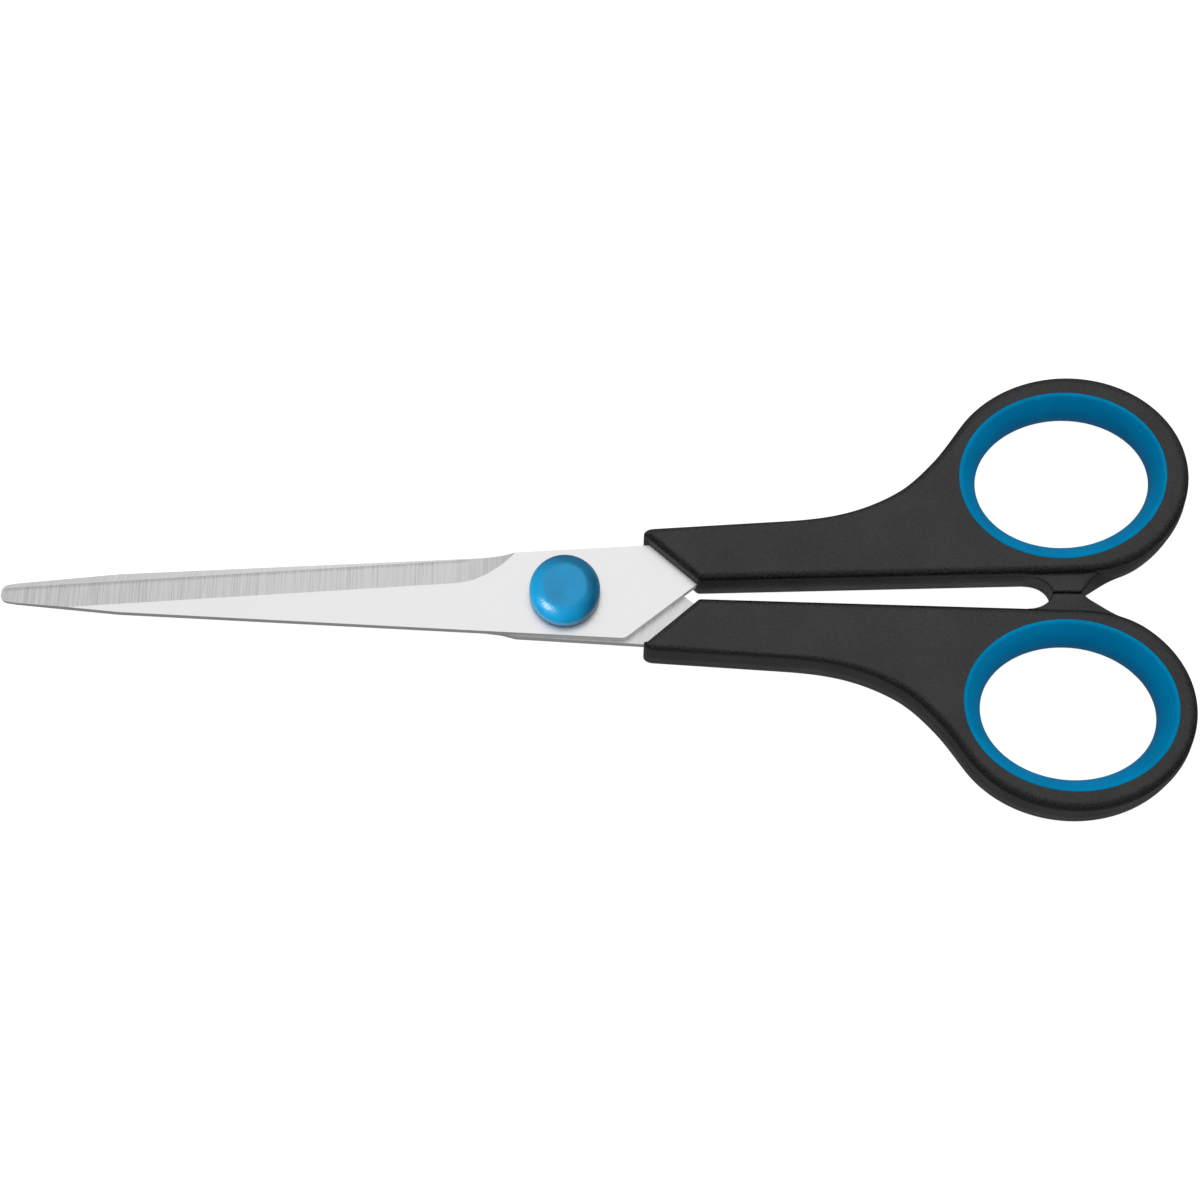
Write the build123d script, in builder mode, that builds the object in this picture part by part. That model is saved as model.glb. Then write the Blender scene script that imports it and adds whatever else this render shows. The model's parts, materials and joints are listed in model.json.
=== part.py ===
from build123d import *
import math
import os

# Office scissors, 180 mm long, lying closed on one flat side of their handles.
# The two halves are the same shape: the back half is the front half turned over about the length (X) axis.
# Every sketch is drawn around the pivot, in millimetres: -X is the blade side, +X the handle side, and
# height 0 is the plane in which the two blades slide on each other.

# ---------------------------------------------------------------- driving dimensions
PIVOT_X = -4.72          # the pivot's place along the length; the frame's origin is mid-length
HALF_THICKNESS = 4.7     # handle, from the sliding plane to its flat face

BLADE_T = 1.7            # sheet thickness of a blade
BLADE_PLAY = 0.025       # from the sliding plane to each blade's inner face
TIP_X = -85.1            # blunt tip
SPINE_TIP = (-82.6, -1.7)
SPINE_BREAK = (-67.2, -3.2)
SPINE_HEEL = (9.0, -6.99)
EDGE_TIP = (-83.2, 1.0)
EDGE_MID = (-43.0, 3.74)
EDGE_HEEL = (-9.6, 5.95)
RICASSO_FRONT = (-7.4, 6.36)
RICASSO_REAR = (12.0, 7.5)
SLANT_SLOPE = 0.775      # rise of the slanted edge behind the pivot, over its run
TIP_FACET = (-1.3, 0.8)  # low and high corner of the blunt end, before rounding
TIP_R = 1.15             # rounding of the blunt tip
HEEL_R = 1.8             # rounding of the corner between spine and slanted edge
BEVEL_WIDTH = 4.0        # width of the ground bevel, seen from above
BEVEL_EDGE_T = 0.12      # metal left at the cutting edge
BEVEL_END_X = -17.0      # where the grinding wheel starts to leave the blade
GRIND_WHEEL_R = 30.0     # radius of the run-out that the wheel leaves
GRIND_WHEEL_ARC = 30.0   # degrees of the wheel that reach the blade
TANG_START = 18.0        # where the ricasso has narrowed to the tang, inside the handle
TANG_END = 46.0          # how far the tang reaches into the handle
TANG_HALF_WIDTH = 2.2
LOCK_HOLES = (27.0, 33.5, 40.0)
LOCK_HOLE_R = 1.1

NECK_FRONT = (12.25, 9.61)       # upper corner of the neck's front end
NECK_SHOULDER = (12.25, 7.83)    # lower corner, where the slanted front end starts
NECK_INNER = (19.83, 1.2)        # where the slanted front end and the inner edge would meet
INNER_END = (77.5, 2.75)         # the inner edge is straight up to here
NECK_BACK = (30.6, 10.77)        # the neck's back is straight up to here
THROAT = ((41.5, 12.08), (49.8, 15.4), (55.3, 20.15))
LOOP_CENTRE = (75.75, 17.9)
LOOP_AXES = (18.8, 15.95)
LOOP_TILT = 4.8
LOOP_FROM = -56.0                # where the inner edge runs into the loop's oval, in degrees
LOOP_TO = 143.0                  # where the oval runs into the throat
CORNER_R = 1.12                  # front corners of the neck
INNER_CORNER_R = 1.6
RIM_R = 0.8                      # rounding between the flat faces and the side wall

BOSS_HALF_THICKNESS = 3.1
BOSS_LEFT, BOSS_RIGHT = 73.1, 78.2
BOSS_LEFT_R = 2.6                # hollow between the inner edge and the boss
BOSS_CREST = (79.9, 1.53)        # a point on the boss's other side
BOSS_FOOT = (84.6, 3.9)          # where that side runs out into the loop
BOSS_ROOT = 1.4                  # how far the boss goes into the handle's wall
STOP_GAP = 0.03                  # from the closing plane to each stop face

# ovals of the soft ring: (centre x, centre y, half length, half width)
GRIP_TILT = 5.0
GRIP_FRONT = (75.2, 17.85, 15.75, 13.15)  # its rim on the handle's front face
GRIP_BACK = (75.5, 17.8, 16.15, 13.3)     # and on the back face
GRIP_WAIST = (75.55, 17.85, 13.1, 10.35)  # the finger hole where it is narrowest, at mid-height
# the ring's rounded inside: (height, share of the way from the rim to the waist)
GRIP_PROFILE = ((0.0, 1.0), (1.6, 0.9), (3.1, 0.58), (4.1, 0.28), (4.7, 0.1))
GRIP_FIT = 0.02                  # between the soft ring and the hard handle
TONGUE_DEPTH = 0.8               # rib that keys the ring into the loop
TONGUE_HALF_HEIGHT = 1.5

RIVET_R = 2.5
RUNNING_FIT = 0.05               # radial clearance of the turning blade on the rivet
FIXED_FIT = 0.01                 # radial clearance of clamped pieces
AXIAL_FIT = 0.01                 # between faces that turn on each other in the pivot
SPRING_T, SPRING_RISE, SPRING_R = 0.15, 0.12, 3.8
COLLAR_R, COLLAR_T = 3.5, 0.78   # neck under the rivet's head
HEAD_R, HEAD_T, HEAD_EDGE_R = 4.1, 0.7, 0.2
REAR_WASHER_R, REAR_WASHER_T, REAR_WASHER_EDGE_R = 4.0, 0.35, 0.12
REAR_HEAD_R, REAR_HEAD_T, REAR_HEAD_EDGE_R = 3.3, 0.55, 0.44

CAP_R = 5.31
CAP_BASE, CAP_SHOULDER, CAP_TOP = 2.58, 4.43, 6.33
CAP_LIP_T = 0.18                 # inward lip that snaps under the rivet's head
CAP_FOOT_R = 0.4
CAP_DISH_R, CAP_DISH = 3.3, 0.14


def level(height):
    """Sketch plane at a height over the sliding plane, with its origin on the pivot's axis."""
    return Plane(origin=(PIVOT_X, 0, HALF_THICKNESS + height))


def turned_over(shape):
    """The same piece as it lies in the back half: turned over about the length axis."""
    return shape.rotate(Axis((0, 0, HALF_THICKNESS), (1, 0, 0)), 180)


def oval_point(angle):
    """Point on the loop's outer oval, and the direction in which the oval runs there."""
    turn = math.radians(LOOP_TILT)
    across, up = LOOP_AXES[0] * math.cos(angle), LOOP_AXES[1] * math.sin(angle)
    run_x, run_y = -LOOP_AXES[0] * math.sin(angle), LOOP_AXES[1] * math.cos(angle)
    point = (
        LOOP_CENTRE[0] + across * math.cos(turn) - up * math.sin(turn),
        LOOP_CENTRE[1] + across * math.sin(turn) + up * math.cos(turn),
    )
    direction = (
        run_x * math.cos(turn) - run_y * math.sin(turn),
        run_x * math.sin(turn) + run_y * math.cos(turn),
    )
    return point, direction


# ---------------------------------------------------------------- blade
def make_bevel_cutter():
    """What the grinding wheel takes off: a flat bevel that ends in the wheel's round run-out."""
    run = Vector(EDGE_HEEL[0] - EDGE_TIP[0], EDGE_HEEL[1] - EDGE_TIP[1], 0).normalized()
    slope = math.atan2(BLADE_T - BEVEL_EDGE_T, BEVEL_WIDTH)
    across = Vector(run.Y, -run.X, 0)
    normal = across * -math.sin(slope) + Vector(0, 0, math.cos(slope))
    up_slope = across * math.cos(slope) + Vector(0, 0, math.sin(slope))
    edge_start = level(BEVEL_EDGE_T).origin + Vector(EDGE_HEEL[0], EDGE_HEEL[1], 0)
    profile_plane = Plane(origin=edge_start, x_dir=run, z_dir=-up_slope)
    rise = 1 if profile_plane.y_dir.dot(normal) > 0 else -1

    tip_end = TIP_X - BEVEL_WIDTH - EDGE_HEEL[0]
    wheel_start = BEVEL_END_X - EDGE_HEEL[0]
    wheel_arc = math.radians(GRIND_WHEEL_ARC)
    wheel_reach = GRIND_WHEEL_R * math.sin(wheel_arc)
    wheel_rise = GRIND_WHEEL_R - GRIND_WHEEL_R * math.cos(wheel_arc)
    with BuildPart() as cutter:
        with BuildSketch(profile_plane):
            with BuildLine():
                Line((tip_end, 0), (wheel_start, 0))
                RadiusArc(
                    (wheel_start, 0),
                    (wheel_start + wheel_reach, rise * wheel_rise),
                    -rise * GRIND_WHEEL_R,
                )
                Polyline(
                    (wheel_start + wheel_reach, rise * wheel_rise),
                    (tip_end, rise * wheel_rise),
                    (tip_end, 0),
                )
            make_face()
        extrude(amount=3 * BEVEL_WIDTH, both=True)
    return cutter.part


def make_blade():
    """Stamped and ground blade of the front half, from its tip to the end of its hidden tang."""
    tang_axis = (NECK_INNER[1] + NECK_FRONT[1]) / 2
    tang_low = tang_axis - TANG_HALF_WIDTH
    tang_high = tang_axis + TANG_HALF_WIDTH
    slant_end = (SPINE_HEEL[0] + (tang_low - SPINE_HEEL[1]) / SLANT_SLOPE, tang_low)
    with BuildPart() as blade:
        with BuildSketch(level(BLADE_PLAY)) as outline:
            with BuildLine():
                Spline(EDGE_TIP, EDGE_MID, EDGE_HEEL)
                Polyline(
                    EDGE_HEEL,
                    RICASSO_FRONT,
                    RICASSO_REAR,
                    (TANG_START, tang_high),
                    (TANG_END, tang_high),
                    (TANG_END, tang_low),
                    slant_end,
                    SPINE_HEEL,
                    SPINE_BREAK,
                    SPINE_TIP,
                    (TIP_X, TIP_FACET[0]),
                    (TIP_X, TIP_FACET[1]),
                    EDGE_TIP,
                )
            make_face()
            fillet(outline.vertices().sort_by(Axis.X)[0:2], TIP_R)
            fillet(outline.vertices().sort_by(Axis.Y)[0], HEEL_R)
            with Locations([(x, tang_axis) for x in LOCK_HOLES]):
                Circle(LOCK_HOLE_R, mode=Mode.SUBTRACT)
            Circle(RIVET_R + RUNNING_FIT, mode=Mode.SUBTRACT)
        extrude(amount=BLADE_T - BLADE_PLAY)
        add(make_bevel_cutter(), mode=Mode.SUBTRACT)
    return blade.part


# ---------------------------------------------------------------- handle
def draw_handle_outline():
    """Outline of a handle around its neck and loop, drawn inside a BuildLine."""
    loop_start, loop_start_run = oval_point(math.radians(LOOP_FROM))
    loop_end, loop_end_run = oval_point(math.radians(LOOP_TO))
    inner_run = (INNER_END[0] - NECK_INNER[0], INNER_END[1] - NECK_INNER[1])
    back_run = (NECK_FRONT[0] - NECK_BACK[0], NECK_FRONT[1] - NECK_BACK[1])
    Line(NECK_INNER, INNER_END)
    Spline(INNER_END, loop_start, tangents=(inner_run, loop_start_run))
    EllipticalCenterArc(
        LOOP_CENTRE,
        *LOOP_AXES,
        start_angle=LOOP_FROM,
        arc_size=LOOP_TO - LOOP_FROM,
        rotation=LOOP_TILT,
    )
    Spline(loop_end, *reversed(THROAT), NECK_BACK, tangents=(loop_end_run, back_run))
    Polyline(NECK_BACK, NECK_FRONT, NECK_SHOULDER, NECK_INNER)


def make_handle_body():
    """Neck and finger loop as one plate with rounded rims, before anything is seated in it."""
    with BuildPart() as body:
        with BuildSketch(level(-HALF_THICKNESS)) as outline:
            with BuildLine():
                draw_handle_outline()
            make_face()
            fillet(outline.vertices().sort_by(Axis.X)[0:2], CORNER_R)
            fillet(outline.vertices().sort_by_distance(NECK_INNER)[0], INNER_CORNER_R)
        extrude(amount=2 * HALF_THICKNESS)
        fillet(body.faces().sort_by(Axis.Z)[0].edges(), RIM_R)
        fillet(body.faces().sort_by(Axis.Z)[-1].edges(), RIM_R)
    return body.part


def make_boss():
    """Stop boss that meets the other handle's boss when the scissors are closed."""
    hollow_start = (BOSS_LEFT - BOSS_LEFT_R, STOP_GAP + BOSS_LEFT_R)
    root_y = INNER_END[1] + BOSS_ROOT
    with BuildPart() as boss:
        with BuildSketch(level(-BOSS_HALF_THICKNESS)):
            with BuildLine():
                Line((BOSS_LEFT, STOP_GAP), (BOSS_RIGHT, STOP_GAP))
                Spline(
                    (BOSS_RIGHT, STOP_GAP),
                    BOSS_CREST,
                    BOSS_FOOT,
                    tangents=((0.55, 1), (1, 0.47)),
                )
                Polyline(
                    BOSS_FOOT,
                    (BOSS_FOOT[0], root_y),
                    (hollow_start[0], root_y),
                    hollow_start,
                )
                RadiusArc(hollow_start, (BOSS_LEFT, STOP_GAP), BOSS_LEFT_R)
            make_face()
        extrude(amount=2 * BOSS_HALF_THICKNESS)
    return boss.part


def draw_grip_oval(oval, margin=0.0):
    """One of the ring's ovals, grown by a margin, drawn inside a BuildSketch."""
    centre_x, centre_y, half_length, half_width = oval
    with Locations(Location((centre_x, centre_y, 0), (0, 0, GRIP_TILT))):
        Ellipse(half_length + margin, half_width + margin)


def make_grip_blank(margin):
    """Outside of the grip ring, grown by a margin: front half, back half and the tongue between them."""
    tongue_half = TONGUE_HALF_HEIGHT + margin
    with BuildPart() as blank:
        with BuildSketch(level(0)):
            draw_grip_oval(GRIP_FRONT, margin)
        extrude(amount=HALF_THICKNESS)
        with BuildSketch(level(0)):
            draw_grip_oval(GRIP_BACK, margin)
        extrude(amount=-HALF_THICKNESS)
        with BuildSketch(level(-tongue_half)):
            draw_grip_oval(GRIP_FRONT, TONGUE_DEPTH + margin)
        extrude(amount=2 * tongue_half)
    return blank.part


def make_handle(blade):
    """Moulded handle of the front half, with the seats of its blade's tang and its grip ring."""
    with BuildPart() as handle:
        add(make_handle_body())
        add(make_boss())
        add(make_grip_blank(GRIP_FIT), mode=Mode.SUBTRACT)
        add(blade, mode=Mode.SUBTRACT)
    return handle.part


# ---------------------------------------------------------------- grip ring
def between(rim, waist, share):
    """The oval that lies a share of the way from the rim's oval to the waist's."""
    return tuple(r + (w - r) * share for r, w in zip(rim, waist))


def make_finger_hole():
    """The space inside a grip ring, narrowest at mid-height."""
    back = [(-height, GRIP_BACK, share) for height, share in reversed(GRIP_PROFILE[1:])]
    front = [(height, GRIP_FRONT, share) for height, share in GRIP_PROFILE]
    with BuildPart() as hole:
        for height, rim, share in back + front:
            with BuildSketch(level(height)):
                draw_grip_oval(between(rim, GRIP_WAIST, share))
        loft()
    return hole.part


def make_grip_ring():
    """Soft ring of a finger loop: rounded inside, with a tongue round its outside."""
    with BuildPart() as ring:
        add(make_grip_blank(0))
        add(make_finger_hole(), mode=Mode.SUBTRACT)
    return ring.part


# ---------------------------------------------------------------- pivot
def pivot_section():
    """Vertical sketch plane through the pivot's axis: its X is the radius, its Y the height."""
    return Plane(origin=(PIVOT_X, 0, HALF_THICKNESS), x_dir=(1, 0, 0), z_dir=(0, -1, 0))


def pivot_axis():
    return Axis((PIVOT_X, 0, 0), (0, 0, 1))


def make_turned(points):
    """Round piece on the pivot's axis, turned from a profile of (radius, height) points."""
    with BuildPart() as turned:
        with BuildSketch(pivot_section()):
            with BuildLine():
                Polyline(*points, close=True)
            make_face()
        revolve(axis=pivot_axis())
    return turned.part


def head_levels():
    """Heights of the pivot's collar, head and head top."""
    collar = BLADE_T + SPRING_T + SPRING_RISE + 2 * AXIAL_FIT
    return collar, collar + COLLAR_T, collar + COLLAR_T + HEAD_T


def make_rivet():
    """Steel pivot: collar and flat head in front, formed head behind."""
    collar_base, head_base, _ = head_levels()
    rear_base = -BLADE_T - REAR_WASHER_T
    steps = (
        (rear_base, REAR_HEAD_R, -REAR_HEAD_T),
        (rear_base, RIVET_R, collar_base - rear_base),
        (collar_base, COLLAR_R, COLLAR_T),
        (head_base, HEAD_R, HEAD_T),
    )
    with BuildPart() as rivet:
        for base, radius, height in steps:
            with BuildSketch(level(base)):
                Circle(radius)
            extrude(amount=height)
        fillet(rivet.edges().sort_by(Axis.Z)[0], REAR_HEAD_EDGE_R)
        fillet(rivet.edges().sort_by(Axis.Z)[-1], HEAD_EDGE_R)
    return rivet.part


def make_spring_washer():
    """Shallow conical washer that presses the blades together."""
    base = BLADE_T + AXIAL_FIT
    hole_r = RIVET_R + FIXED_FIT
    return make_turned((
        (hole_r, base + SPRING_RISE),
        (SPRING_R, base),
        (SPRING_R, base + SPRING_T),
        (hole_r, base + SPRING_RISE + SPRING_T),
    ))


def make_rear_washer():
    """Flat washer on which the rivet's rear head is formed."""
    with BuildPart() as washer:
        with BuildSketch(level(-BLADE_T)):
            Circle(REAR_WASHER_R)
            Circle(RIVET_R + FIXED_FIT, mode=Mode.SUBTRACT)
        extrude(amount=-REAR_WASHER_T)
        rim = washer.edges().group_by(Axis.Z)[0].sort_by(SortBy.RADIUS)[-1]
        fillet(rim, REAR_WASHER_EDGE_R)
    return washer.part


def make_cap():
    """Button cap that snaps over the rivet's head: round shoulder, shallow dish in its crown."""
    _, head_base, head_top = head_levels()
    seat_r = HEAD_R + FIXED_FIT
    lip_r = COLLAR_R + RUNNING_FIT
    with BuildPart() as cap:
        with BuildSketch(pivot_section()) as section:
            with BuildLine():
                Polyline(
                    (0, head_top + AXIAL_FIT),
                    (seat_r, head_top + AXIAL_FIT),
                    (seat_r, CAP_BASE + CAP_LIP_T),
                    (lip_r, CAP_BASE + CAP_LIP_T),
                    (lip_r, CAP_BASE),
                    (CAP_R, CAP_BASE),
                    (CAP_R, CAP_SHOULDER),
                )
                EllipticalCenterArc(
                    (CAP_DISH_R, CAP_SHOULDER),
                    CAP_R - CAP_DISH_R,
                    CAP_TOP - CAP_SHOULDER,
                    arc_size=90,
                )
                Spline(
                    (CAP_DISH_R, CAP_TOP),
                    (0, CAP_TOP - CAP_DISH),
                    tangents=((-1, 0), (-1, 0)),
                )
                Line((0, CAP_TOP - CAP_DISH), (0, head_top + AXIAL_FIT))
            make_face()
            fillet(section.vertices().sort_by_distance((CAP_R, CAP_BASE))[0], CAP_FOOT_R)
        revolve(axis=pivot_axis())
    return cap.part


# ---------------------------------------------------------------- the ten pieces
def write_piece(name, shape, colour):
    with BuildPart() as piece:
        add(shape)
    piece.part.label = name
    piece.part.color = Color(colour)
    export_step(piece.part, f"parts/{name}.step")
    return piece.part


def make_scissors():
    blade = make_blade()
    handle = make_handle(blade)
    ring = make_grip_ring()
    pieces = [
        ("front_blade", blade, "silver"),
        ("upper_handle", handle, "black"),
        ("upper_grip_ring", ring, "blue"),
        ("back_blade", turned_over(blade), "silver"),
        ("lower_handle", turned_over(handle), "black"),
        ("lower_grip_ring", turned_over(ring), "blue"),
        ("pivot_rivet", make_rivet(), "gray"),
        ("spring_washer", make_spring_washer(), "gray"),
        ("rear_washer", make_rear_washer(), "gray"),
        ("pivot_cap", make_cap(), "blue"),
    ]
    return [write_piece(*piece) for piece in pieces]


os.makedirs("parts", exist_ok=True)
scissors = make_scissors()
for piece in scissors:
    box = piece.bounding_box()
    print(piece.label, f"{piece.volume:.1f} mm3", piece.is_valid, box)
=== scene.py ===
import json
import math

import bmesh
import bpy
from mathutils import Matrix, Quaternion, Vector
from mathutils.geometry import tessellate_polygon

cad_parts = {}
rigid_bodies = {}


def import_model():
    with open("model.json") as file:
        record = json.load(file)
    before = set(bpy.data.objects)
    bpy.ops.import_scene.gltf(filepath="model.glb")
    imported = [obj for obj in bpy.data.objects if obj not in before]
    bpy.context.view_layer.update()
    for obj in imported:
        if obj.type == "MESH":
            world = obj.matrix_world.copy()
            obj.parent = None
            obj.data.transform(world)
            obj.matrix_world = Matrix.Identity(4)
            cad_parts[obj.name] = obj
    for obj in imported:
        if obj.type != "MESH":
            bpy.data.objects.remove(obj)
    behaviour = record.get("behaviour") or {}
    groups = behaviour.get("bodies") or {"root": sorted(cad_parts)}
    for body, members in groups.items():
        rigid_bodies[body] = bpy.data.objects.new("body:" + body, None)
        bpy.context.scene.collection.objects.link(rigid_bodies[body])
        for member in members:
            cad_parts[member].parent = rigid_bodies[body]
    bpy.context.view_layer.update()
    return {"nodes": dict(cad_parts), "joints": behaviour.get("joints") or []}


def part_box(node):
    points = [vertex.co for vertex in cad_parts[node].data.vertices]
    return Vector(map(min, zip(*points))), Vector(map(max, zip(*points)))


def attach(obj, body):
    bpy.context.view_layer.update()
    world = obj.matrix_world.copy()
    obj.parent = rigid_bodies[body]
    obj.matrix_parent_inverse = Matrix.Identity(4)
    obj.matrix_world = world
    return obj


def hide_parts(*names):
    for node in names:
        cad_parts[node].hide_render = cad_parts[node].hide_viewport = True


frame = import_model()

# Office scissors, lying closed. The CAD frame gives the blades, the pivot's steel pieces and every place; the
# moulded handles, the soft rings and the cap are finer meshes on the same dimensions, with mould draft,
# rolled edges and a parting line. Outlines are drawn in millimetres around the pivot, as in the CAD source:
# -X is the blade side, +X the handle side, and height 0 is the plane in which the blades slide.

MM = 0.001
PIVOT = Vector(frame["joints"][0]["pos_m"])
FRONT_BODY = frame["joints"][0]["child"]
BACK_BODY = frame["joints"][0]["parent"]
HALF = PIVOT.z / MM          # the handles' half thickness

# ---------------------------------------------------------------- handle dimensions
FRONT_CENTRE, FRONT_AXES = (13.55, 8.48), (1.7, 1.22)       # oval corner at the neck's front
FRONT_TILT = math.radians(3.6)
FRONT_FROM, FRONT_MIDDLE, FRONT_TO = math.radians(90), math.radians(180), math.radians(215)
NECK_INNER = (19.83, 1.2)                       # the neck's inner corner, before it is rounded
INNER_END = (77.5, 2.75)                        # end of the straight inner edge
NECK_BACK = (30.6, 10.77)                       # end of the straight back edge
THROAT = ((41.5, 12.08), (49.8, 15.4), (55.3, 20.15))       # on the curve from there to the loop
LOOP_CENTRE = (75.75, 17.9)
LOOP_AXES = (18.82, 16.03)
LOOP_TILT = math.radians(4.8)
LOOP_FROM = math.radians(-56.0)                 # the stretch of the loop's oval that is drawn
LOOP_TO = math.radians(143.0)
INNER_R = 1.6                                   # rounding of the neck's inner corner, seen from above
SAMPLE_STEP = 0.22                              # spacing of the outline's samples
FRONT_STEPS, FRONT_END_STEPS = 20, 7            # steps of the front corner, before and after its middle

# edges: how far the wall leans in per millimetre of height, and the radius of the rolled rim
WALL_DRAFT, FRONT_DRAFT, SLANT_DRAFT = 0.061, 0.0, 0.11
RIM_INNER, RIM_SLANT, RIM_FRONT, RIM_NECK, RIM_LOOP = 1.1, 1.05, 0.85, 0.7, 1.35
PARTING_DEPTH, PARTING_HALF, PARTING_HEIGHT = 0.13, 0.1, 2.3      # groove left by the two mould halves

BOSS_HALF = 3.1                                 # half the stop boss's thickness
BOSS_EDGE_R = 0.45                              # its rolled edges
STOP_GAP = 0.03                                 # from the boss's end to the middle plane
BOSS_HOLLOW = (69.5, -0.35)                     # centre of the oval hollow between inner edge and boss
BOSS_HOLLOW_AXES = (3.9, 2.88)
BOSS_HOLLOW_STEPS = 24
BOSS_TOP_SIDE = ((77.7, STOP_GAP), (78.35, 0.95), (79.9, 2.85))    # the boss's other side, at its top
BOSS_BASE_SIDE = ((77.95, STOP_GAP), (79.7, 1.52), (84.2, 4.05))   # and at its base
BOSS_SIDE_RUNS = (0.5, 1), (1, 0.35)            # directions that this side starts and ends in
BOSS_STEP = 0.2                                 # spacing of its contour's samples
INNER_BAND = 4.7                                # the loop's side that carries the boss lies below this Y

# where the wall's rings of vertices lie
PLAIN_LEVELS = (0.8, 1.7)
BOSS_EDGE_ANGLES = (0, 20, 40, 60, 75)          # on the boss's rolled edges, in degrees
BOSS_FACE_RISES = (0, 0.012, 0.024, 0.04)       # above the boss's flat faces, where the plain wall goes on
RIM_SHARES = (0.08, 0.18, 0.28, 0.38, 0.48, 0.58, 0.68, 0.78, 0.89, 1)    # of the rim's arc

# ovals of the soft ring: (centre x, centre y, half length, half width)
GRIP_TILT = math.radians(5.0)
GRIP_FRONT = (75.2, 17.97, 15.75, 13.08)
GRIP_BACK = (75.5, 17.8, 16.12, 13.18)
GRIP_WAIST = (75.45, 17.98, 13.25, 10.35)
GRIP_BULGE = 2.1             # power of the inside's rounding
GRIP_INSIDE_STEPS = 20       # steps of the inside, from the waist to a face
# (share of the way from the handle to the waist, depth below the face)
GRIP_LIP = ((0, 0.04), (0.02, 0), (0.13, 0), (0.17, 0.03))      # flat lip with soft edges
GRIP_INSIDE_START = (0.22, 0.12)                                # where the rounded inside begins
TONGUE_DEPTH, TONGUE_HALF = 0.8, 1.5        # the tongue around the ring, which the handle holds
GRIP_SEGMENTS = 288


# ---------------------------------------------------------------- plane curves
def hermite(start, end, start_run, end_run, count):
    """Points of a cubic from start up to, but without, end."""
    points = []
    for i in range(count):
        t = i / count
        a, b = 2 * t**3 - 3 * t**2 + 1, t**3 - 2 * t**2 + t
        c, d = -2 * t**3 + 3 * t**2, t**3 - t**2
        points.append(Vector(start) * a + Vector(start_run) * b + Vector(end) * c + Vector(end_run) * d)
    return points


def through(points, first_run, last_run, step):
    """Smooth curve through the points, with the directions it has at both ends, without its last point."""
    points = [Vector(p) for p in points]
    runs = [(c - a).normalized() for a, c in zip(points, points[2:])]
    runs = [Vector(first_run).normalized()] + runs + [Vector(last_run).normalized()]
    curve = []
    for a, b, run_a, run_b in zip(points, points[1:], runs, runs[1:]):
        span = (b - a).length
        curve += hermite(a, b, run_a * span, run_b * span, max(2, round(span / step)))
    return curve


def straight(start, end, step):
    start, end = Vector(start), Vector(end)
    count = max(1, round((end - start).length / step))
    return [start.lerp(end, i / count) for i in range(count)]


def rounded_corner(before, corner, after, radius, step):
    """Arc that rounds a corner: its points, from the side of before to the side of after."""
    before, corner, after = Vector(before), Vector(corner), Vector(after)
    one, two = (before - corner).normalized(), (after - corner).normalized()
    half = one.angle(two) / 2
    reach = radius / math.tan(half)
    centre = corner + (one + two).normalized() * radius / math.sin(half)
    start, end = corner + one * reach - centre, corner + two * reach - centre
    sweep = math.pi - 2 * half
    count = max(6, round(radius * sweep / step))
    turn = 1 if start.x * end.y - start.y * end.x > 0 else -1
    return [centre + turned(start, turn * sweep * i / count) for i in range(count + 1)]


def turned(vector, angle):
    c, s = math.cos(angle), math.sin(angle)
    return Vector((vector.x * c - vector.y * s, vector.x * s + vector.y * c))


def oval_point(centre, axes, tilt, angle):
    return Vector(centre) + turned(Vector((axes[0] * math.cos(angle), axes[1] * math.sin(angle))), tilt)


def oval_run(axes, tilt, angle):
    return turned(Vector((-axes[0] * math.sin(angle), axes[1] * math.cos(angle))), tilt).normalized()


def grip_oval(oval, margin=0.0):
    """Samples of one of the ring's ovals, grown by a margin."""
    x, y, length, width = oval
    angles = [2 * math.pi * i / GRIP_SEGMENTS for i in range(GRIP_SEGMENTS)]
    return [oval_point((x, y), (length + margin, width + margin), GRIP_TILT, a) for a in angles]


# ---------------------------------------------------------------- handle outline
def loop_arc(step):
    arc = LOOP_TO - LOOP_FROM
    count = round(arc * sum(LOOP_AXES) / 2 / step)
    angles = [LOOP_FROM + arc * i / count for i in range(count)]
    return [oval_point(LOOP_CENTRE, LOOP_AXES, LOOP_TILT, a) for a in angles]


def front_arc(start, end, count):
    angles = [start + (end - start) * i / count for i in range(count + 1)]
    return [oval_point(FRONT_CENTRE, FRONT_AXES, FRONT_TILT, a) for a in angles]


def boss_contour(side):
    """The stop boss's contour, from the hollow beside the inner edge to where it runs into the loop."""
    lowest = math.asin((STOP_GAP - BOSS_HOLLOW[1]) / BOSS_HOLLOW_AXES[1])
    turn = (lowest - math.pi / 2) / BOSS_HOLLOW_STEPS
    angles = [math.pi / 2 + turn * i for i in range(BOSS_HOLLOW_STEPS + 1)]
    hollow = [oval_point(BOSS_HOLLOW, BOSS_HOLLOW_AXES, 0.0, a) for a in angles]
    stop = straight(hollow[-1], side[0], BOSS_STEP)[1:]
    return hollow + stop + through(side, *BOSS_SIDE_RUNS, BOSS_STEP) + [Vector(side[-1])]


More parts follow.
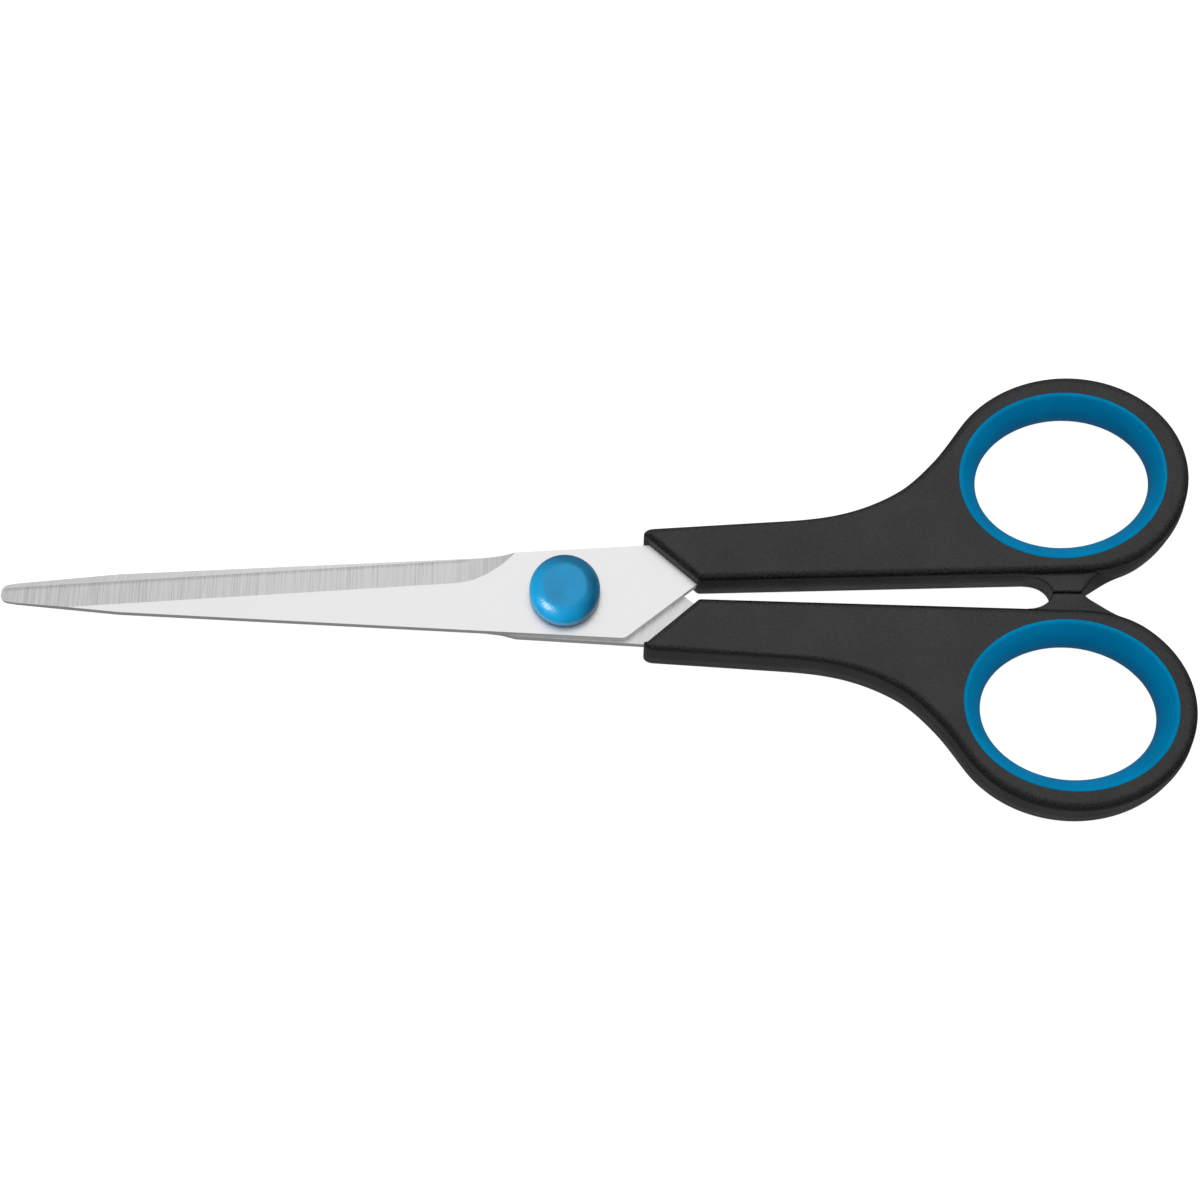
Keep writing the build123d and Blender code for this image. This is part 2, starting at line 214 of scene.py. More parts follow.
def handle_outline():
    """Samples around a handle, without its boss, as (point, draft, rim radius)."""
    loop_start = oval_point(LOOP_CENTRE, LOOP_AXES, LOOP_TILT, LOOP_FROM)
    loop_end = oval_point(LOOP_CENTRE, LOOP_AXES, LOOP_TILT, LOOP_TO)
    inner_run = Vector(INNER_END) - Vector(NECK_INNER)
    front = front_arc(FRONT_FROM, FRONT_MIDDLE, FRONT_STEPS)
    front_end = front_arc(FRONT_MIDDLE, FRONT_TO, FRONT_END_STEPS)
    back_run = front[0] - Vector(NECK_BACK)
    inner_corner = rounded_corner(front_end[-1], NECK_INNER, INNER_END, INNER_R, SAMPLE_STEP)
    run_into_loop = oval_run(LOOP_AXES, LOOP_TILT, LOOP_FROM)
    run_out_of_loop = oval_run(LOOP_AXES, LOOP_TILT, LOOP_TO)
    throat = (loop_end, *reversed(THROAT), NECK_BACK)
    inner_edge = straight(inner_corner[-1], INNER_END, SAMPLE_STEP)[1:]
    slant = straight(front_end[-1], inner_corner[0], SAMPLE_STEP)[1:]
    # each stretch with its draft and its rim radius, at its start and its end
    stretches = (
        (inner_corner, SLANT_DRAFT, WALL_DRAFT, RIM_SLANT, RIM_INNER),
        (inner_edge, WALL_DRAFT, WALL_DRAFT, RIM_INNER, RIM_INNER),
        (through((INNER_END, loop_start), inner_run, run_into_loop, SAMPLE_STEP),
         WALL_DRAFT, WALL_DRAFT, RIM_INNER, RIM_LOOP),
        (loop_arc(SAMPLE_STEP), WALL_DRAFT, WALL_DRAFT, RIM_LOOP, RIM_LOOP),
        (through(throat, run_out_of_loop, back_run, SAMPLE_STEP), WALL_DRAFT, WALL_DRAFT, RIM_LOOP, RIM_NECK),
        (straight(NECK_BACK, front[0], SAMPLE_STEP), WALL_DRAFT, WALL_DRAFT, RIM_NECK, RIM_FRONT),
        (front[:-1], WALL_DRAFT, FRONT_DRAFT, RIM_FRONT, RIM_FRONT),
        (front_end, FRONT_DRAFT, SLANT_DRAFT, RIM_FRONT, RIM_SLANT),
        (slant, SLANT_DRAFT, SLANT_DRAFT, RIM_SLANT, RIM_SLANT),
    )
    samples = []
    for points, draft_0, draft_1, rim_0, rim_1 in stretches:
        for i, point in enumerate(points):
            t = i / max(1, len(points) - 1)
            t = t * t * (3 - 2 * t)
            samples.append([point, draft_0 + (draft_1 - draft_0) * t, rim_0 + (rim_1 - rim_0) * t])
    return samples


def boss_points(samples, side):
    """The places that the samples around the boss have on its contour, by their index."""
    contour = boss_contour(side)
    lengths = [0.0]
    for a, b in zip(contour, contour[1:]):
        lengths.append(lengths[-1] + (b - a).length)
    first, last = contour[0].x, contour[-1].x
    near = [k for k, s in enumerate(samples) if s[0].y < INNER_BAND and first <= s[0].x <= last]
    travelled = [0.0]
    for j, k in zip(near, near[1:]):
        travelled.append(travelled[-1] + (samples[k][0] - samples[j][0]).length)
    places = {}
    for k, way in zip(near, travelled):
        target = way / travelled[-1] * lengths[-1]
        i = next(n for n in range(1, len(lengths)) if lengths[n] >= target - 1e-9)
        t = (target - lengths[i - 1]) / (lengths[i] - lengths[i - 1])
        places[k] = contour[i - 1].lerp(contour[i], min(1.0, max(0.0, t)))
    return places


def outward_normals(points, passes=6):
    """Normals of a closed outline, evened out so that an inset doesn't fold at the tighter corners."""
    normals = []
    for before, after in zip(points[-1:] + points[:-1], points[1:] + points[:1]):
        run = after - before
        normals.append(Vector((run.y, -run.x)).normalized())
    for _ in range(passes):
        around = zip(normals[-1:] + normals[:-1], normals, normals[1:] + normals[:1])
        normals = [(a + 2 * b + c).normalized() for a, b, c in around]
    return normals


def boss_share(height):
    """How far the boss stands out at a height: 1 over its thickness, with a rolled edge, then nothing."""
    over = abs(height) - (BOSS_HALF - BOSS_EDGE_R)
    if over <= 0:
        return 1.0
    if over >= BOSS_EDGE_R:
        return 0.0
    depth = INNER_END[1]
    return 1 - BOSS_EDGE_R / depth * (1 - math.sqrt(1 - (over / BOSS_EDGE_R) ** 2))


def rim_inset(radius, height):
    """How far a rolled rim has come in at a height."""
    over = height - (HALF - radius)
    return radius - math.sqrt(radius**2 - over**2) if over > 0 else 0.0


def wall_heights():
    """Levels of the side wall, closer together at the boss's edges and faces and at the parting line."""
    edge = [BOSS_HALF - BOSS_EDGE_R * (1 - math.sin(math.radians(a))) for a in BOSS_EDGE_ANGLES]
    face = [BOSS_HALF + rise for rise in BOSS_FACE_RISES]
    half = [*PLAIN_LEVELS, *edge, *face]
    parting = [PARTING_HEIGHT + PARTING_HALF * i for i in (-1, 0, 1)]
    return sorted([-h for h in half] + [0.0] + parting + half)


# ---------------------------------------------------------------- mesh helpers
def place(point, height):
    """A drawn point at a height, as it lies in the CAD frame, in metres."""
    return Vector((PIVOT.x + point.x * MM, PIVOT.y + point.y * MM, PIVOT.z + height * MM))


def add_ring(bm, points, heights):
    return [bm.verts.new(place(p, h)) for p, h in zip(points, heights)]


def skin(bm, low, high):
    """Wall between two rings of equally many vertices."""
    count = len(low)
    for i in range(count):
        j = (i + 1) % count
        bm.faces.new((low[i], low[j], high[j], high[i]))


def cover(bm, outer, inner):
    """Flat face between an outer and an inner ring."""
    rings = [[v.co for v in outer], [v.co for v in inner]]
    vertices = outer + inner
    for triangle in tessellate_polygon(rings):
        bm.faces.new([vertices[i] for i in triangle])


def finish_mesh(bm, name, sharp_degrees=35):
    bmesh.ops.recalc_face_normals(bm, faces=bm.faces)
    for face in bm.faces:
        face.smooth = True
    for edge in bm.edges:
        if len(edge.link_faces) == 2 and edge.calc_face_angle() > math.radians(sharp_degrees):
            edge.smooth = False
    mesh = bpy.data.meshes.new(name)
    bm.to_mesh(mesh)
    bm.free()
    piece = bpy.data.objects.new(name, mesh)
    bpy.context.scene.collection.objects.link(piece)
    return piece


def weight_normals(piece):
    modifier = piece.modifiers.new("face_weighted_normals", "WEIGHTED_NORMAL")
    modifier.keep_sharp = True
    modifier.weight = 100


def turned_over(source, name):
    """The same piece as it lies in the back half: turned over about the length axis through the pivot."""
    mesh = source.data.copy()
    for vertex in mesh.vertices:
        vertex.co.y = 2 * PIVOT.y - vertex.co.y
        vertex.co.z = 2 * PIVOT.z - vertex.co.z
    piece = bpy.data.objects.new(name, mesh)
    bpy.context.scene.collection.objects.link(piece)
    return piece


# ---------------------------------------------------------------- handle
def make_handle(name):
    samples = handle_outline()
    plain = [s[0] for s in samples]
    drafts = [s[1] for s in samples]
    rims = [s[2] for s in samples]
    plain_normals = outward_normals(plain)
    bm = bmesh.new()

    def boss_outline(height):
        """Outline with the boss, whose side towards the loop leans out from its top to its bottom."""
        share = min(1.0, max(0.0, 0.5 - height / BOSS_HALF / 2))
        side = [Vector(a).lerp(Vector(b), share) for a, b in zip(BOSS_TOP_SIDE, BOSS_BASE_SIDE)]
        places = boss_points(samples, side)
        return [places.get(k, point) for k, point in enumerate(plain)], places

    def level(height):
        share = boss_share(height)
        bossed, places = boss_outline(height)
        bossed_normals = outward_normals(bossed)
        groove = PARTING_DEPTH if height == PARTING_HEIGHT else 0.0
        points, heights = [], []
        for k, point in enumerate(plain):
            out = share if k in places else 0.0
            normal = plain_normals[k].lerp(bossed_normals[k], out).normalized()
            inset = drafts[k] * abs(height) + rim_inset(rims[k], abs(height))
            points.append(point.lerp(bossed[k], out) - normal * (inset * (1 - out) + groove))
            heights.append(height)
        return add_ring(bm, points, heights)

    def rim(side, share):
        """Ring on the rolled rim above the boss's level, at a share of the arc that is left there."""
        points, heights = [], []
        for k, point in enumerate(plain):
            first = math.asin(max(0.0, (wall_top - (HALF - rims[k])) / rims[k]))
            angle = first + (math.pi / 2 - first) * share
            height = HALF - rims[k] * (1 - math.sin(angle))
            lean = drafts[k] * min(height, HALF - rims[k] / 2)
            points.append(point - plain_normals[k] * (lean + rims[k] * (1 - math.cos(angle))))
            heights.append(side * height)
        return add_ring(bm, points, heights)

    levels = wall_heights()
    wall_top = levels[-1]
    rings = [rim(-1, share) for share in reversed(RIM_SHARES)]
    rings += [level(h) for h in levels]
    rings += [rim(1, share) for share in RIM_SHARES]
    for low, high in zip(rings, rings[1:]):
        skin(bm, low, high)

    seat = (
        (GRIP_BACK, 0, -HALF), (GRIP_BACK, 0, -TONGUE_HALF), (GRIP_FRONT, TONGUE_DEPTH, -TONGUE_HALF),
        (GRIP_FRONT, TONGUE_DEPTH, TONGUE_HALF), (GRIP_FRONT, 0, TONGUE_HALF), (GRIP_FRONT, 0, HALF),
    )
    holes = [add_ring(bm, grip_oval(oval, margin), [z] * GRIP_SEGMENTS) for oval, margin, z in seat]
    for low, high in zip(holes, holes[1:]):
        skin(bm, low, high)
    cover(bm, rings[0], holes[0])
    cover(bm, rings[-1], holes[-1])
    return finish_mesh(bm, name)


# ---------------------------------------------------------------- grip ring
def between(rim, waist, share):
    """Oval at a share of the way from one oval to another."""
    return tuple(r + (w - r) * share for r, w in zip(rim, waist))


def make_grip_ring(name):
    """Soft ring: a flat lip on each face, rounded inside, keyed into the handle by its tongue."""
    start_share, start_depth = GRIP_INSIDE_START
    inside = []
    for i in range(-GRIP_INSIDE_STEPS, GRIP_INSIDE_STEPS + 1):
        t = math.sin(math.pi / 2 * i / GRIP_INSIDE_STEPS)
        face_oval = GRIP_FRONT if t >= 0 else GRIP_BACK
        share = 1 - (1 - start_share) * abs(t) ** GRIP_BULGE
        inside.append((between(face_oval, GRIP_WAIST, share), 0, (HALF - start_depth) * t))
    back_lip = [(between(GRIP_BACK, GRIP_WAIST, share), 0, depth - HALF) for share, depth in GRIP_LIP]
    front_lip = [(between(GRIP_FRONT, GRIP_WAIST, share), 0, HALF - depth) for share, depth in GRIP_LIP]
    tongue = [
        (GRIP_FRONT, 0, TONGUE_HALF), (GRIP_FRONT, TONGUE_DEPTH, TONGUE_HALF),
        (GRIP_FRONT, TONGUE_DEPTH, -TONGUE_HALF), (GRIP_BACK, 0, -TONGUE_HALF),
    ]
    profile = back_lip + inside + front_lip[::-1] + tongue
    bm = bmesh.new()
    rings = [add_ring(bm, grip_oval(oval, margin), [z] * GRIP_SEGMENTS) for oval, margin, z in profile]
    for low, high in zip(rings, rings[1:] + rings[:1]):
        skin(bm, low, high)
    return finish_mesh(bm, name, sharp_degrees=60)


# ---------------------------------------------------------------- pivot cap
CAP_SEGMENTS = 160
CAP_FOOT_STEPS, CAP_DOME_STEPS, CAP_DISH_STEPS = 4, 26, 12
CAP_DISH_R, CAP_DISH = 3.3, 0.14            # radius and depth of the dish in its top
CAP_WALL_SHARE = 0.4                        # share of the cap's height that its straight wall takes
CAP_TOP_SLOPE, CAP_WALL_SLOPE = math.radians(16), math.radians(80)      # of the dome, at its ends
CAP_FOOT_R = 0.12                           # rounding of its lower edge
CAP_SKIRT_R, CAP_CLEARANCE = 4.75, 0.12     # skirt around the head, and the gap that it leaves to the blade
CAP_SEAT_R, CAP_SEAT_DEPTH = 4.11, 0.9      # hollow that holds the rivet's head
CAP_LIP_R, CAP_LIP_T = 3.55, 0.18           # lip that snaps under the head


def cap_circle(radius):
    angles = [2 * math.pi * i / CAP_SEGMENTS for i in range(CAP_SEGMENTS)]
    return [Vector((radius * math.cos(a), radius * math.sin(a))) for a in angles]


def make_cap(name):
    """Button cap turned on the pivot's axis: skirt, straight wall, dome, shallow dish, snap-in hollow."""
    low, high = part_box("pivot_cap")
    radius = (high[0] - low[0]) / 2 / MM
    base, top = (low[2] - PIVOT.z) / MM, (high[2] - PIVOT.z) / MM
    shoulder = base + (top - base) * CAP_WALL_SHARE
    seat = base + CAP_LIP_T
    foot = (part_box("front_blade")[1][2] - PIVOT.z) / MM + CAP_CLEARANCE
    profile = [(CAP_SEAT_R, seat + CAP_SEAT_DEPTH), (CAP_SEAT_R, seat), (CAP_LIP_R, seat), (CAP_LIP_R, base)]
    profile += [(CAP_SKIRT_R, base), (CAP_SKIRT_R, foot)]
    for i in range(CAP_FOOT_STEPS + 1):
        a = math.pi / 2 * i / CAP_FOOT_STEPS
        profile.append((radius - CAP_FOOT_R * (1 - math.sin(a)), foot + CAP_FOOT_R * (1 - math.cos(a))))
    span = math.hypot(radius - CAP_DISH_R, top - shoulder)
    steep, shallow = [Vector((-math.cos(a), math.sin(a))) * span for a in (CAP_WALL_SLOPE, CAP_TOP_SLOPE)]
    profile += hermite((radius, shoulder), (CAP_DISH_R, top), steep, shallow, CAP_DOME_STEPS)
    profile.append((CAP_DISH_R, top))
    for i in range(1, CAP_DISH_STEPS):
        t = i / CAP_DISH_STEPS
        profile.append((CAP_DISH_R * (1 - t), top - CAP_DISH * (1 - math.cos(math.pi * t)) / 2))
    bm = bmesh.new()
    rings = [add_ring(bm, cap_circle(r), [height] * CAP_SEGMENTS) for r, height in profile]
    for low_ring, high_ring in zip(rings, rings[1:]):
        skin(bm, low_ring, high_ring)
    for ring, height in ((rings[0], profile[0][1]), (rings[-1], top - CAP_DISH)):
        middle = bm.verts.new(place(Vector((0, 0)), height))
        for i in range(CAP_SEGMENTS):
            bm.faces.new((ring[i], ring[(i + 1) % CAP_SEGMENTS], middle))
    return finish_mesh(bm, name, sharp_degrees=50)


# ---------------------------------------------------------------- materials
# colours: linear, before the noise changes them
BLACK_COLOUR = (0.017, 0.017, 0.0173)
RING_COLOUR = (0.0, 0.355, 0.72)
RING_SPECULAR_TINT = (0.02, 0.45, 1.0, 1)
CAP_COLOUR = (0.0, 0.222, 0.45)
BLADE_COLOUR = (1.0, 1.0, 1.004)
RIVET_COLOUR = (1.0, 1.0, 1.01)
FLAT_TONE, BEVEL_TONE, INSIDE_TONE, WALL_TONE = 0.77, 0.98, 0.62, 0.95      # of the blades' surfaces

# heights of the grain on each surface, in metres
COARSE_GRAIN, SOFT_GRAIN, GRIND_DEPTH, TURNED_DEPTH = 0.00005, 0.00001, 0.000006, 0.000004
TURNED_RINGS = 900.0         # scale of the rings turned into the rivet and its washers
CAP_PAINTED_SHADE = (0.3 * MM, 1.3 * MM)     # heights above the blade between which painted shade darkens the cap's foot
TIP_PAINTED_SHADE = (-0.09, -0.03)           # X between which the painted shade on the blades' ground faces fades, so they get lighter from the tip towards the heel
EDGE_SHADE = (0.2 * MM, 0.42 * MM)   # distances from the sliding plane: the bevel darkens at its cutting edge


def math_node(tree, operation, one, two):
    """A Math node of two inputs, each a socket or a number; returns its output."""
    made = tree.nodes.new("ShaderNodeMath")
    made.operation = operation
    for socket, value in zip(made.inputs, (one, two)):
        if isinstance(value, (int, float)):
            socket.default_value = value
        else:
            tree.links.new(value, socket)
    return made.outputs["Value"]


def new_material(name, **shader_values):
    material = bpy.data.materials.new(name)
    material.use_nodes = True
    shader = material.node_tree.nodes["Principled BSDF"]
    for socket, value in shader_values.items():
        shader.inputs[socket.replace("_", " ")].default_value = value
    return material, material.node_tree, shader


def node(tree, kind, **values):
    made = tree.nodes.new(kind)
    for key, value in values.items():
        if key in made.inputs.keys():
            made.inputs[key].default_value = value
        else:
            setattr(made, key, value)
    return made


def place_texture(tree, scale, turn=0.0):
    """Object coordinates stretched along the axes, after a turn about the vertical."""
    source = tree.nodes.new("ShaderNodeTexCoord").outputs["Object"]
    if turn:
        mapping = tree.nodes.new("ShaderNodeMapping")
        mapping.inputs["Rotation"].default_value = (0, 0, turn)
        tree.links.new(source, mapping.inputs["Vector"])
        source = mapping.outputs["Vector"]
    mapping = tree.nodes.new("ShaderNodeMapping")
    mapping.inputs["Scale"].default_value = scale
    tree.links.new(source, mapping.inputs["Vector"])
    return mapping.outputs["Vector"]


def noise(tree, scale, detail=2.0, roughness=0.5, turn=0.0):
    """Noise of a scale per metre along each axis; returns its factor, around 0.5."""
    made = node(tree, "ShaderNodeTexNoise", Scale=1.0, Detail=detail, Roughness=roughness)
    tree.links.new(place_texture(tree, scale, turn), made.inputs["Vector"])
    return made.outputs["Fac"]


def ramp(tree, value, low, high, to_low, to_high):
    """Smooth step of a socket's value from one range to another."""
    made = node(tree, "ShaderNodeMapRange", interpolation_type="SMOOTHSTEP")
    for key, number in (("From Min", low), ("From Max", high), ("To Min", to_low), ("To Max", to_high)):
        made.inputs[key].default_value = number
    tree.links.new(value, made.inputs["Value"])
    return made.outputs["Result"]


def spread(tree, factor, to_low, to_high):
    """The range that a noise mostly stays in, spread over another."""
    return ramp(tree, factor, 0.3, 0.7, to_low, to_high)


def blend(tree, share, one, two):
    """Mix of two values or sockets by a share."""
    made = tree.nodes.new("ShaderNodeMix")
    for socket, value in ((made.inputs[0], share), (made.inputs[2], one), (made.inputs[3], two)):
        if isinstance(value, (int, float)):
            socket.default_value = value
        else:
            tree.links.new(value, socket)
    return made.outputs[0]


def link_tone(tree, shader, value, colour):
    """Base colour: the colour times a value."""
    made = tree.nodes.new("ShaderNodeVectorMath")
    made.operation = "SCALE"
    made.inputs[0].default_value = colour
    tree.links.new(value, made.inputs["Scale"])
    tree.links.new(made.outputs["Vector"], shader.inputs["Base Color"])


def link_bump(tree, shader, height, distance):
    bump = node(tree, "ShaderNodeBump", Strength=1.0, Distance=distance)
    tree.links.new(height, bump.inputs["Height"])
    tree.links.new(bump.outputs["Normal"], shader.inputs["Normal"])


def make_black_plastic():
    """Matte spark-eroded moulding: fine grain with slow changes in its gloss."""
    material, tree, shader = new_material("black_plastic", Specular_IOR_Level=0.52)
    grain = noise(tree, (3900,) * 3, detail=1.5)
    cloud = noise(tree, (110,) * 3, detail=3.0)
    link_tone(tree, shader, spread(tree, grain, 0.0, 2.0), BLACK_COLOUR)
    speckle = blend(tree, 0.35, grain, cloud)
    tree.links.new(spread(tree, speckle, 0.32, 0.54), shader.inputs["Roughness"])
    link_bump(tree, shader, grain, COARSE_GRAIN)
    return material


def make_soft_blue():
    """Soft elastomer of the finger rings."""
    material, tree, shader = new_material("soft_blue", Specular_IOR_Level=0.15)
    shader.inputs["Specular Tint"].default_value = RING_SPECULAR_TINT
    grain = noise(tree, (3200,) * 3, detail=1.0)
    cloud = noise(tree, (160,) * 3, detail=2.0)
    link_tone(tree, shader, spread(tree, cloud, 0.94, 1.06), RING_COLOUR)
    tree.links.new(spread(tree, grain, 0.45, 0.55), shader.inputs["Roughness"])
    link_bump(tree, shader, grain, SOFT_GRAIN)
    return material


def make_cap_blue():
    """Satin cap with a speckled, lightly eroded surface, with painted shade darkening it right down at its
    foot.
    """
    material, tree, shader = new_material("cap_blue", Specular_IOR_Level=0.42)
    grain = noise(tree, (3400,) * 3, detail=2.0, roughness=0.6)
    cloud = noise(tree, (500,) * 3, detail=2.0)
    where = tree.nodes.new("ShaderNodeSeparateXYZ")
    tree.links.new(tree.nodes.new("ShaderNodeTexCoord").outputs["Object"], where.inputs["Vector"])
    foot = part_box("front_blade")[1][2]
    # painted shade: the cap's base colour darkens towards its foot, by height above the blade
    rise = ramp(tree, where.outputs["Z"], foot + CAP_PAINTED_SHADE[0], foot + CAP_PAINTED_SHADE[1], 0.12, 1.0)
    cloud_tone_and_painted_shade = math_node(tree, "MULTIPLY", spread(tree, cloud, 0.93, 1.07), rise)
    link_tone(tree, shader, cloud_tone_and_painted_shade, CAP_COLOUR)
    tree.links.new(spread(tree, cloud, 0.28, 0.36), shader.inputs["Roughness"])
    link_bump(tree, shader, grain, COARSE_GRAIN)
    return material


def make_blade_steel():
    """Blade steel: flats brushed lengthwise, bevels ground crosswise, inner faces lapped slantwise."""
    material, tree, shader = new_material("blade_steel", Metallic=1.0)
    facing = tree.nodes.new("ShaderNodeSeparateXYZ")
    tree.links.new(tree.nodes.new("ShaderNodeNewGeometry").outputs["True Normal"], facing.inputs["Vector"])
    upright = math_node(tree, "ABSOLUTE", facing.outputs["Z"], 0.0)
    where = tree.nodes.new("ShaderNodeSeparateXYZ")
    tree.links.new(tree.nodes.new("ShaderNodeTexCoord").outputs["Object"], where.inputs["Vector"])
    off_plane = math_node(tree, "ABSOLUTE", math_node(tree, "SUBTRACT", where.outputs["Z"], PIVOT.z), 0.0)

    is_flat = ramp(tree, upright, 0.975, 0.985, 0.0, 1.0)
    is_face = ramp(tree, upright, 0.6, 0.75, 0.0, 1.0)
    is_outer = ramp(tree, off_plane, 0.15 * MM, 0.25 * MM, 0.0, 1.0)
    from_edge = ramp(tree, off_plane, *EDGE_SHADE, 0.78, 1.0)

    brushing = noise(tree, (130, 4600, 4600), detail=3.0, roughness=0.7)
    fine_grind = noise(tree, (6200, 60, 60), detail=2.0, roughness=0.75)
    broad_grind = noise(tree, (1300, 20, 20), detail=2.0)
    scratches = noise(tree, (5200, 200, 200), detail=3.0, roughness=0.7, turn=math.radians(24))
    grind = blend(tree, 0.15, fine_grind, broad_grind)

    flat = ramp(tree, brushing, 0.2, 0.8, FLAT_TONE - 0.04, FLAT_TONE + 0.04)
    bevel = spread(tree, grind, BEVEL_TONE - 0.2, BEVEL_TONE + 0.2)
    inside = ramp(tree, scratches, 0.25, 0.75, INSIDE_TONE - 0.09, INSIDE_TONE + 0.09)
    # painted shade: the ground faces are darker towards the tip
    painted_tip_shade = ramp(tree, where.outputs["X"], *TIP_PAINTED_SHADE, 0.88, 1.02)
    inside = math_node(tree, "MULTIPLY", inside, painted_tip_shade)
    bevel = math_node(tree, "MULTIPLY", math_node(tree, "MULTIPLY", bevel, painted_tip_shade), from_edge)
    face = blend(tree, is_flat, bevel, blend(tree, is_outer, inside, flat))
    link_tone(tree, shader, blend(tree, is_face, WALL_TONE, face), BLADE_COLOUR)

    pattern = blend(tree, is_flat, grind, blend(tree, is_outer, scratches, brushing))
    tree.links.new(ramp(tree, pattern, 0.2, 0.8, 0.28, 0.36), shader.inputs["Roughness"])
    link_bump(tree, shader, pattern, GRIND_DEPTH)
    return material


def make_rivet_steel():
    """Turned steel: fine rings around the pivot's axis."""
    material, tree, shader = new_material("rivet_steel", Metallic=1.0)
    source = tree.nodes.new("ShaderNodeTexCoord").outputs["Object"]
    centred = tree.nodes.new("ShaderNodeVectorMath")
    centred.operation = "SUBTRACT"
    centred.inputs[1].default_value = (PIVOT.x, PIVOT.y, 0)
    tree.links.new(source, centred.inputs[0])
    rings = node(tree, "ShaderNodeTexWave", wave_type="RINGS", rings_direction="Z")
    rings.inputs["Scale"].default_value = TURNED_RINGS
    rings.inputs["Distortion"].default_value = 1.5
    tree.links.new(centred.outputs["Vector"], rings.inputs["Vector"])
    link_tone(tree, shader, ramp(tree, rings.outputs["Fac"], 0.0, 1.0, 0.55, 0.65), RIVET_COLOUR)
    cloud = noise(tree, (700,) * 3)
    tree.links.new(spread(tree, cloud, 0.3, 0.42), shader.inputs["Roughness"])
    link_bump(tree, shader, rings.outputs["Fac"], TURNED_DEPTH)
    return material


def dress(piece, material):
    piece.data.materials.clear()
    piece.data.materials.append(material)


# ---------------------------------------------------------------- the pieces
black = make_black_plastic()
ring_blue = make_soft_blue()
cap_blue = make_cap_blue()
steel = make_blade_steel()
rivet_steel = make_rivet_steel()

upper_handle = make_handle("moulded_upper_handle")
lower_handle = turned_over(upper_handle, "moulded_lower_handle")
upper_ring = make_grip_ring("soft_upper_ring")
lower_ring = turned_over(upper_ring, "soft_lower_ring")
cap = make_cap("button_cap")
stand_ins = (
    (cap, "pivot_cap", BACK_BODY, cap_blue, "cap_blue"),
    (upper_handle, "upper_handle", FRONT_BODY, black, "handle_black"),
    (lower_handle, "lower_handle", BACK_BODY, black, "handle_black"),
    (upper_ring, "upper_grip_ring", FRONT_BODY, ring_blue, "grip_blue"),
    (lower_ring, "lower_grip_ring", BACK_BODY, ring_blue, "grip_blue"),
)
for piece, cad_node, body, material, slot in stand_ins:
    dress(piece, material)
    weight_normals(piece)
    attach(piece, body)
    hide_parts(cad_node)

for cad_node, material in (
    ("front_blade", steel), ("back_blade", steel),
    ("pivot_rivet", rivet_steel), ("spring_washer", rivet_steel), ("rear_washer", rivet_steel),
):
    for material_slot in frame["nodes"][cad_node].material_slots:
        material_slot.material = material


# ---------------------------------------------------------------- floor, light and camera
FLOOR_HALF = 3.0
FLOOR_HEIGHT = -0.00002      # just under the handles, so that the two faces don't coincide
FLOOR_GLOW = 0.97            # the floor is lit from below, so that it stays white right up to the object


def make_floor():
    mesh = bpy.data.meshes.new("floor")
    h = FLOOR_HALF
    z = FLOOR_HEIGHT
    mesh.from_pydata([(-h, -h, z), (h, -h, z), (h, h, z), (-h, h, z)], [], [(0, 1, 2, 3)])
    floor = bpy.data.objects.new("floor", mesh)
    bpy.context.scene.collection.objects.link(floor)
    floor.visible_glossy = floor.visible_diffuse = False
    material, tree, shader = new_material("floor_white", Roughness=0.9)
    shader.inputs["Base Color"].default_value = (0.3, 0.3, 0.3, 1)
    shader.inputs["Emission Color"].default_value = (1, 1, 1, 1)
    shader.inputs["Emission Strength"].default_value = FLOOR_GLOW
    dress(floor, material)


GLINT_FROM = Vector((-0.7, -0.56, 0.44))      # direction of the light that gives the cap its highlight
GLINT_DISTANCE, GLINT_SIZE, GLINT_RADIANCE = 0.7, 0.16, 85


def add_glint(piece):
    """Small area light that gives one piece its highlight."""
    light = bpy.data.lights.new("glint", "AREA")
    light.size = GLINT_SIZE
    light.energy = GLINT_RADIANCE * math.pi * GLINT_SIZE**2
    box = bpy.data.objects.new("glint", light)
    bpy.context.scene.collection.objects.link(box)
    box.location = GLINT_FROM.normalized() * GLINT_DISTANCE
    box.rotation_euler = (-box.location).to_track_quat("-Z", "Y").to_euler()
    receivers = bpy.data.collections.new("glint_receivers")
    receivers.objects.link(piece)
    box.light_linking.receiver_collection = receivers


TENT_AMBIENT = 0.1
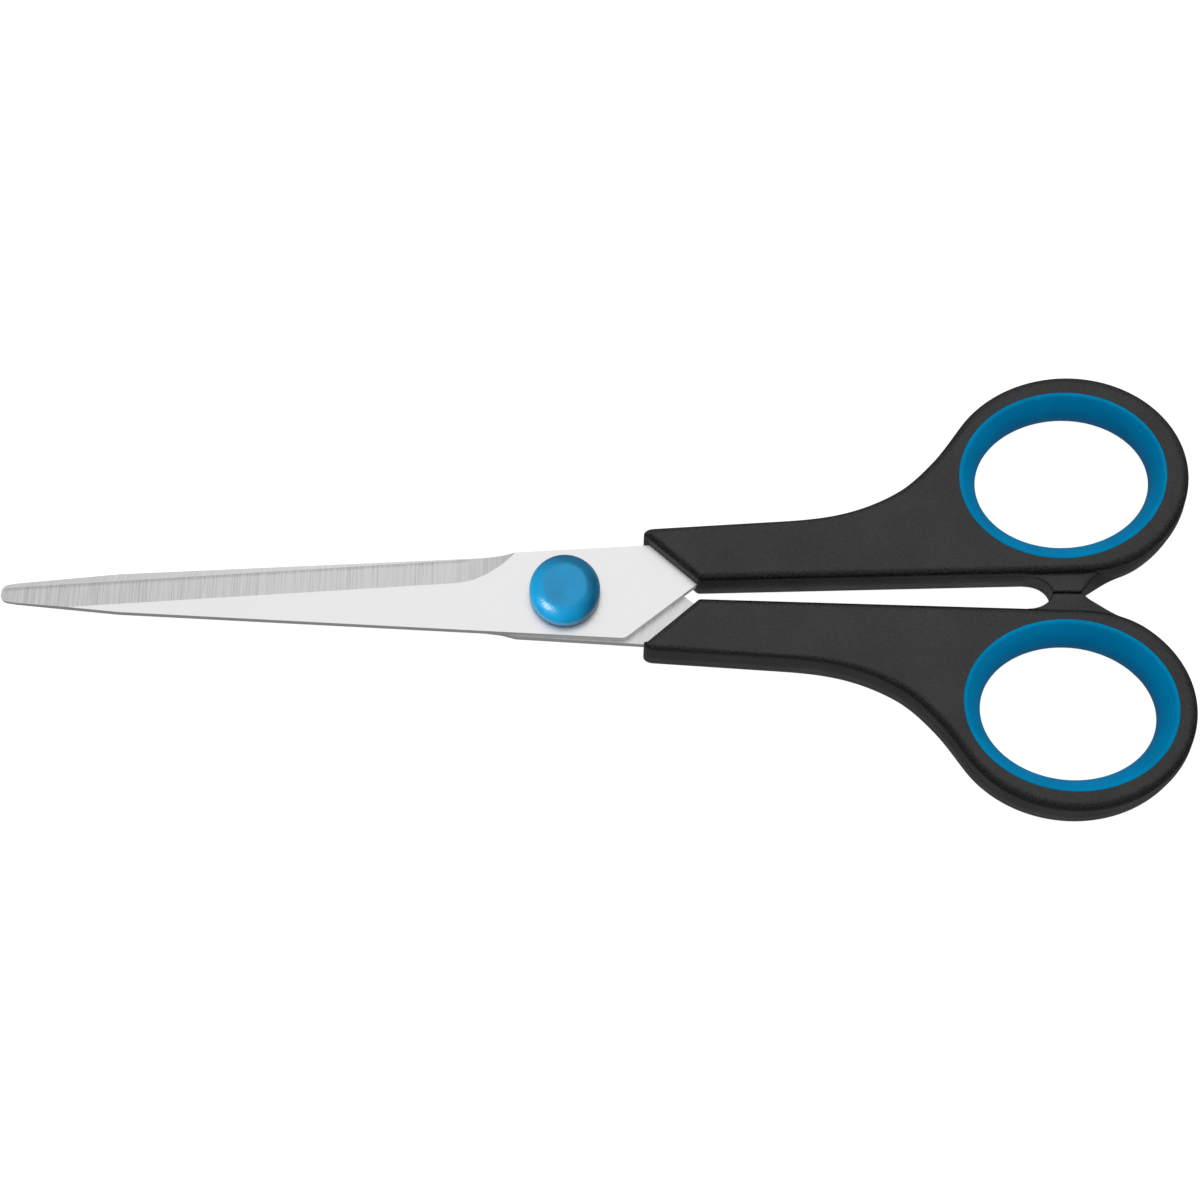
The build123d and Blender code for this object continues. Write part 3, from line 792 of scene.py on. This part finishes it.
# axis, radiance and narrowness of each lobe
TENT_LOBES = (
    ((0, 0.6, 0.8), 0.48, 1),        # broad, from above and behind
    ((0, 0.27, 0.96), 0.7, 8),       # softbox overhead
    ((0, -0.8, 0.6), 0.16, 2),       # faint, from the camera's side
    ((0, 0, -1), 0.17, 4),           # from below
)


def make_tent():
    """A light tent: brightest overhead, fading towards the back, dark at the camera's side."""
    world = bpy.data.worlds.new("light_tent")
    world.use_nodes = True
    tree = world.node_tree
    direction = tree.nodes.new("ShaderNodeTexCoord").outputs["Generated"]
    total = TENT_AMBIENT
    for axis, radiance, narrowness in TENT_LOBES:
        dot = tree.nodes.new("ShaderNodeVectorMath")
        dot.operation = "DOT_PRODUCT"
        dot.inputs[1].default_value = Vector(axis).normalized()
        tree.links.new(direction, dot.inputs[0])
        facing = math_node(tree, "MAXIMUM", dot.outputs["Value"], 0.0)
        lobe = math_node(tree, "MULTIPLY", math_node(tree, "POWER", facing, narrowness), radiance)
        total = math_node(tree, "ADD", lobe, total)
    background = tree.nodes["Background"]
    background.inputs["Color"].default_value = (1, 1, 1, 1)
    tree.links.new(total, background.inputs["Strength"])
    bpy.context.scene.world = world


CAMERA_TILT = math.radians(15.5)     # from straight down, towards -Y
CAMERA_DISTANCE = 0.584
CAMERA_ROLL = math.radians(0.2)
FRAME_WIDTH = 0.18113                # what the picture takes in, side to side, at the object
CAMERA_AIM = (0.00057, -0.0006)      # the picture's middle, in the plane in which the blades slide


def make_camera():
    camera = bpy.data.objects.new("camera", bpy.data.cameras.new("camera"))
    bpy.context.scene.collection.objects.link(camera)
    target = Vector((*CAMERA_AIM, PIVOT.z))
    back = Vector((0, -math.sin(CAMERA_TILT), math.cos(CAMERA_TILT)))
    camera.location = target + back * CAMERA_DISTANCE
    camera.rotation_mode = "QUATERNION"
    camera.rotation_quaternion = Quaternion(back, CAMERA_ROLL) @ (-back).to_track_quat("-Z", "Y")
    camera.data.lens = camera.data.sensor_width * CAMERA_DISTANCE / FRAME_WIDTH
    bpy.context.scene.camera = camera


make_floor()
make_tent()
add_glint(cap)
make_camera()
bpy.context.scene.view_settings.view_transform = "Standard"
